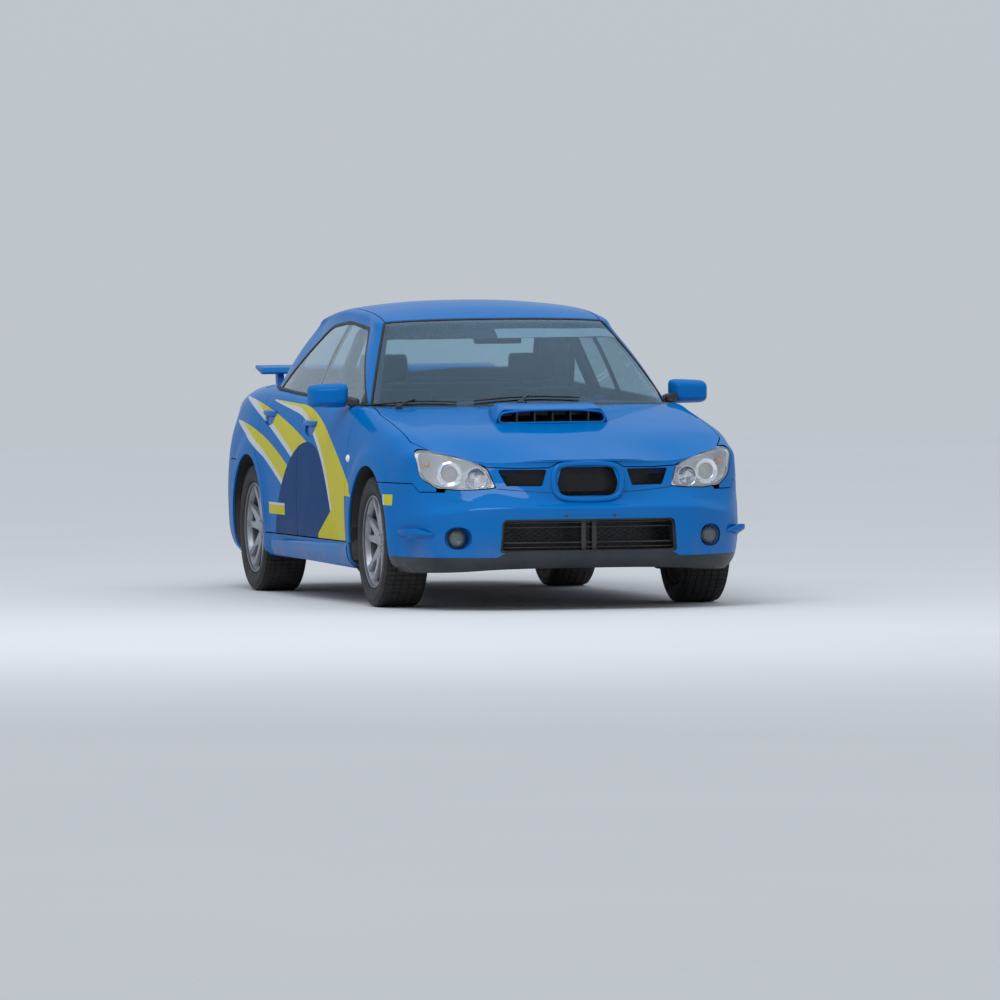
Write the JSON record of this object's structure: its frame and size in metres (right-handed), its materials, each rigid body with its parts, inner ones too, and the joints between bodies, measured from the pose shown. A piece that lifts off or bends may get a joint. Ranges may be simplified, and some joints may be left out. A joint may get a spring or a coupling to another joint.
{
  "type": "rally car",
  "caption": "Four-door rally saloon with opening doors, bonnet and boot lid, linked steering, turning road wheels, bonnet scoop and low boot wing.",
  "frame": {"origin": "on the ground, under the middle of the overall length and width", "axes": "nose to -Y, tail to +Y, the car's left side +X, up +Z"},
  "size_m": [1.981, 4.465, 1.4399],
  "materials": {
    "blue_paint": "gloss",
    "black_trim": "satin",
    "lip_plastic": "matt, weathered",
    "glass": "clear",
    "clear_lens": "clear",
    "red_lens": "gloss",
    "underbody": "satin",
    "cast_metal": "rough cast",
    "exhaust_steel": "satin",
    "chassis_black": "satin black",
    "dash_plastic": "matt",
    "seat_fabric": "woven",
    "tyre_rubber": "matt",
    "rim_silver": "satin painted"
  },
  "bodies": {
    "car_body": {"sills": "blue_paint", "door_posts": "blue_paint", "roof_rails": "blue_paint", "front_fenders": "blue_paint", "rear_quarters": "blue_paint", "rear_deck": "blue_paint", "front_bumper": "blue_paint", "front_lip": "lip_plastic", "upper_grille": "black_trim", "lower_grille": "black_trim", "headlamps": "clear_lens", "fog_lamps": "clear_lens", "rear_bumper": "blue_paint", "tail_lamps": "red_lens", "roof_panel": "blue_paint", "windscreen": "glass", "rear_window": "glass", "cowl": "black_trim", "floor_pan": "underbody", "boot_floor": "underbody", "rear_shelf": "black_trim", "front_structure": "underbody", "wheel_liners": "black_trim", "engine": "cast_metal", "driveline": "cast_metal", "exhaust": "exhaust_steel", "front_crossmember": "chassis_black", "front_springs": "chassis_black", "rear_suspension": "chassis_black", "dashboard": "dash_plastic", "front_seats": "seat_fabric", "rear_seat": "seat_fabric"},
    "bonnet": {"bonnet": "blue_paint", "bonnet_scoop": "blue_paint"},
    "boot_lid": {"boot_lid": "blue_paint", "rear_wing": "blue_paint"},
    "front_door_left": {"front_door_left": "blue_paint", "front_door_glass_left": "glass", "mirror_left": "blue_paint"},
    "front_door_right": {"front_door_right": "blue_paint", "front_door_glass_right": "glass", "mirror_right": "blue_paint"},
    "rear_door_left": {"rear_door_left": "blue_paint", "rear_door_glass_left": "glass"},
    "rear_door_right": {"rear_door_right": "blue_paint", "rear_door_glass_right": "glass"},
    "front_knuckle_left": {"front_knuckle_left": "chassis_black"},
    "front_knuckle_right": {"front_knuckle_right": "chassis_black"},
    "front_wheel_left": {"front_tyre_left": "tyre_rubber", "front_rim_left": "rim_silver"},
    "front_wheel_right": {"front_tyre_right": "tyre_rubber", "front_rim_right": "rim_silver"},
    "rear_wheel_left": {"rear_tyre_left": "tyre_rubber", "rear_rim_left": "rim_silver"},
    "rear_wheel_right": {"rear_tyre_right": "tyre_rubber", "rear_rim_right": "rim_silver"},
    "steering_wheel": {"steering_wheel": "dash_plastic"}
  },
  "joints": [
    {"name": "steer_left", "type": "hinge", "parent": "car_body", "child": "front_knuckle_left", "pos_m": [0.69, -1.3275, 0.19], "axis": [-0.2267, 0, 0.974], "range_deg": [-32, 32]},
    {"name": "steer_right", "type": "hinge", "parent": "car_body", "child": "front_knuckle_right", "pos_m": [-0.69, -1.3275, 0.19], "axis": [0.2267, 0, 0.974], "range_deg": [-32, 32]},
    {"name": "steering_wheel_turn", "type": "hinge", "parent": "car_body", "child": "steering_wheel", "pos_m": [0.37, -0.42, 0.8], "axis": [0, 0.9135, 0.4067], "range_deg": [-485, 485]},
    {"name": "front_wheel_left_spin", "type": "hinge", "parent": "front_knuckle_left", "child": "front_wheel_left", "pos_m": [0.7425, -1.3275, 0.3125], "axis": [1, 0, 0], "continuous": true},
    {"name": "front_wheel_right_spin", "type": "hinge", "parent": "front_knuckle_right", "child": "front_wheel_right", "pos_m": [-0.7425, -1.3275, 0.3125], "axis": [1, 0, 0], "continuous": true},
    {"name": "rear_wheel_left_spin", "type": "hinge", "parent": "car_body", "child": "rear_wheel_left", "pos_m": [0.74, 1.1975, 0.3125], "axis": [1, 0, 0], "continuous": true},
    {"name": "rear_wheel_right_spin", "type": "hinge", "parent": "car_body", "child": "rear_wheel_right", "pos_m": [-0.74, 1.1975, 0.3125], "axis": [1, 0, 0], "continuous": true},
    {"name": "front_door_left_hinge", "type": "hinge", "parent": "car_body", "child": "front_door_left", "pos_m": [0.87, -0.85, 0.6], "axis": [0, 0, -1], "range_deg": [0, 65]},
    {"name": "front_door_right_hinge", "type": "hinge", "parent": "car_body", "child": "front_door_right", "pos_m": [-0.87, -0.85, 0.6], "axis": [0, 0, 1], "range_deg": [0, 65]},
    {"name": "rear_door_left_hinge", "type": "hinge", "parent": "car_body", "child": "rear_door_left", "pos_m": [0.87, 0.153, 0.6], "axis": [0, 0, -1], "range_deg": [0, 70]},
    {"name": "rear_door_right_hinge", "type": "hinge", "parent": "car_body", "child": "rear_door_right", "pos_m": [-0.87, 0.153, 0.6], "axis": [0, 0, 1], "range_deg": [0, 70]},
    {"name": "bonnet_hinge", "type": "hinge", "parent": "car_body", "child": "bonnet", "pos_m": [0, -0.975, 0.965], "axis": [-1, 0, 0], "range_deg": [0, 50]},
    {"name": "boot_hinge", "type": "hinge", "parent": "car_body", "child": "boot_lid", "pos_m": [0, 1.393, 1.044], "axis": [1, 0, 0], "range_deg": [0, 75]}
  ],
  "couplings": [
    {"joint": "steer_right", "follows": "steer_left", "ratio": 1},
    {"joint": "steering_wheel_turn", "follows": "steer_left", "ratio": 15}
  ]
}
